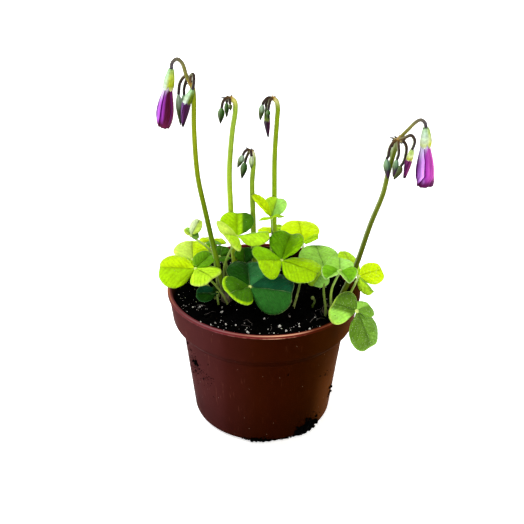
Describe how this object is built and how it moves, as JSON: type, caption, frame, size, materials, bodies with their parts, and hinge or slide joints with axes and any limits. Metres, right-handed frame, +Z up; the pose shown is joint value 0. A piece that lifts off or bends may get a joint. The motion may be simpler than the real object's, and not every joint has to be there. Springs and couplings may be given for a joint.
{
  "type": "potted oxalis bowiei",
  "caption": "Flowering clover-leaved house plant in a tapered round nursery pot of soil, with bare arching stalks of nodding furled flowers.",
  "frame": {"origin": "middle of the pot's flat base, on the surface that it stands on", "axes": "+Z up through the pot to the flowers; -Y towards the viewer of the picture, +X to the right"},
  "size_m": [0.1225, 0.0926, 0.176],
  "materials": {
    "pot": "satin moulded plastic, dark red-brown",
    "soil": "crumbly dark potting mix with white perlite",
    "bulb": "papery brown scales",
    "leaf_lime": "thin lime-green leaf, soft sheen",
    "leaf_green": "thin mid-green leaf, dusty sheen",
    "leaf_shade": "thin dark blue-green leaf, soft sheen",
    "scape": "smooth olive-green stalk and buds",
    "corolla": "soft magenta-purple petals"
  },
  "bodies": {
    "root": {"pot": "pot", "soil": "soil", "bulb_1": "bulb", "bulb_2": "bulb", "bulb_3": "bulb", "bulb_4": "bulb", "bulb_5": "bulb", "leaf_01": "leaf_lime", "leaf_02": "leaf_lime", "leaf_03": "leaf_green", "leaf_04": "leaf_lime", "leaf_05": "leaf_lime", "leaf_06": "leaf_shade", "leaf_07": "leaf_lime", "leaf_08": "leaf_lime", "leaf_09": "leaf_lime", "leaf_10": "leaf_green", "leaf_11": "leaf_green", "leaf_12": "leaf_lime", "leaf_13": "leaf_green", "leaf_14": "leaf_shade", "leaf_15": "leaf_green", "leaf_16": "leaf_shade", "leaf_17": "leaf_green", "leaf_18": "leaf_lime", "scape_1": "scape", "scape_2": "scape", "scape_3": "scape", "scape_4": "scape", "scape_5": "scape", "corolla_1_1": "corolla", "corolla_1_2": "corolla", "corolla_4_2": "corolla", "corolla_5_1": "corolla", "corolla_5_2": "corolla"}
  },
  "joints": []
}
